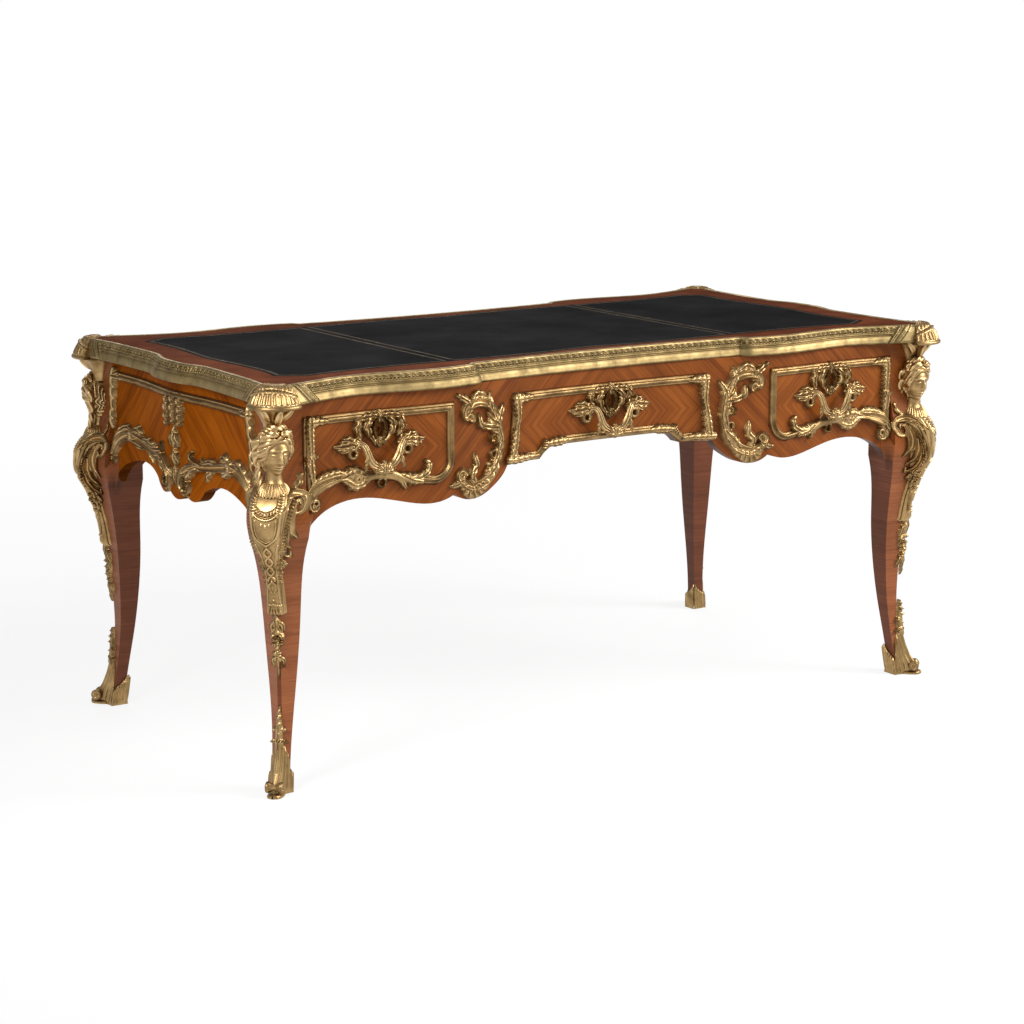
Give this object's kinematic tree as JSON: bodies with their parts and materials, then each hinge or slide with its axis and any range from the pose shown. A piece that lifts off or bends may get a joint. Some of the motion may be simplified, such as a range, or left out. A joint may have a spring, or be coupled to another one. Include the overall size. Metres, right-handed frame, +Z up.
{
  "type": "bureau plat",
  "caption": "Flat-topped writing desk on cabriole legs, serpentine veneered frieze with sliding drawers, leather top and cast gilt mounts with corner busts.",
  "frame": {"origin": "on the floor, at the middle of the desk", "axes": "+X to the right along the desk, +Y towards its back, +Z up; the drawers open towards -Y"},
  "size_m": [1.673, 0.853, 0.7815],
  "materials": {
    "veneer": "satin polish",
    "carcase_oak": "planed, waxed",
    "black_leather": "tooled, semi-matt",
    "gilt_bronze": "chased, aged gilding",
    "lock_steel": "filed"
  },
  "bodies": {
    "carcase": {"back_panel": "veneer", "back_sham_escutcheons": "gilt_bronze", "back_sham_frames": "gilt_bronze", "back_sham_handles": "gilt_bronze", "corner_shells": "gilt_bronze", "drawer_kickers": "carcase_oak", "drawer_partitions": "carcase_oak", "drawer_runners": "carcase_oak", "end_apron_scrolls": "gilt_bronze", "end_flower_drops": "gilt_bronze", "end_mouldings": "gilt_bronze", "end_panel_left": "veneer", "end_panel_right": "veneer", "espagnolette_back_left": "gilt_bronze", "espagnolette_back_right": "gilt_bronze", "espagnolette_front_left": "gilt_bronze", "espagnolette_front_right": "gilt_bronze", "frieze_c_scrolls": "gilt_bronze", "front_lower_rails": "veneer", "front_stiles": "veneer", "front_top_rail": "veneer", "leather_panels": "black_leather", "leg_back_left": "veneer", "leg_back_right": "veneer", "leg_front_left": "veneer", "leg_front_right": "veneer", "leg_pendants": "gilt_bronze", "rim_back": "gilt_bronze", "rim_front": "gilt_bronze", "rim_left": "gilt_bronze", "rim_right": "gilt_bronze", "sabot_back_left": "gilt_bronze", "sabot_back_right": "gilt_bronze", "sabot_front_left": "gilt_bronze", "sabot_front_right": "gilt_bronze", "top_board": "veneer"},
    "drawer_left": {"drawer_left_bottom": "carcase_oak", "drawer_left_box": "carcase_oak", "drawer_left_escutcheon": "gilt_bronze", "drawer_left_frame": "gilt_bronze", "drawer_left_front": "veneer", "drawer_left_handle": "gilt_bronze", "drawer_left_lock": "lock_steel"},
    "bolt_left": {"lock_bolt_left": "lock_steel"},
    "drawer_centre": {"drawer_centre_bottom": "carcase_oak", "drawer_centre_box": "carcase_oak", "drawer_centre_escutcheon": "gilt_bronze", "drawer_centre_frame": "gilt_bronze", "drawer_centre_front": "veneer", "drawer_centre_handle": "gilt_bronze", "drawer_centre_lock": "lock_steel"},
    "bolt_centre": {"lock_bolt_centre": "lock_steel"},
    "drawer_right": {"drawer_right_bottom": "carcase_oak", "drawer_right_box": "carcase_oak", "drawer_right_escutcheon": "gilt_bronze", "drawer_right_frame": "gilt_bronze", "drawer_right_front": "veneer", "drawer_right_handle": "gilt_bronze", "drawer_right_lock": "lock_steel"},
    "bolt_right": {"lock_bolt_right": "lock_steel"}
  },
  "joints": [
    {"name": "left_drawer_slide", "type": "slide", "parent": "carcase", "child": "drawer_left", "axis": [0, -1, 0], "range_m": [0, 0.38]},
    {"name": "left_bolt_throw", "type": "slide", "parent": "drawer_left", "child": "bolt_left", "axis": [0, 0, 1], "range_m": [0, 0.008]},
    {"name": "centre_drawer_slide", "type": "slide", "parent": "carcase", "child": "drawer_centre", "axis": [0, -1, 0], "range_m": [0, 0.38]},
    {"name": "centre_bolt_throw", "type": "slide", "parent": "drawer_centre", "child": "bolt_centre", "axis": [0, 0, 1], "range_m": [0, 0.008]},
    {"name": "right_drawer_slide", "type": "slide", "parent": "carcase", "child": "drawer_right", "axis": [0, -1, 0], "range_m": [0, 0.38]},
    {"name": "right_bolt_throw", "type": "slide", "parent": "drawer_right", "child": "bolt_right", "axis": [0, 0, 1], "range_m": [0, 0.008]}
  ]
}
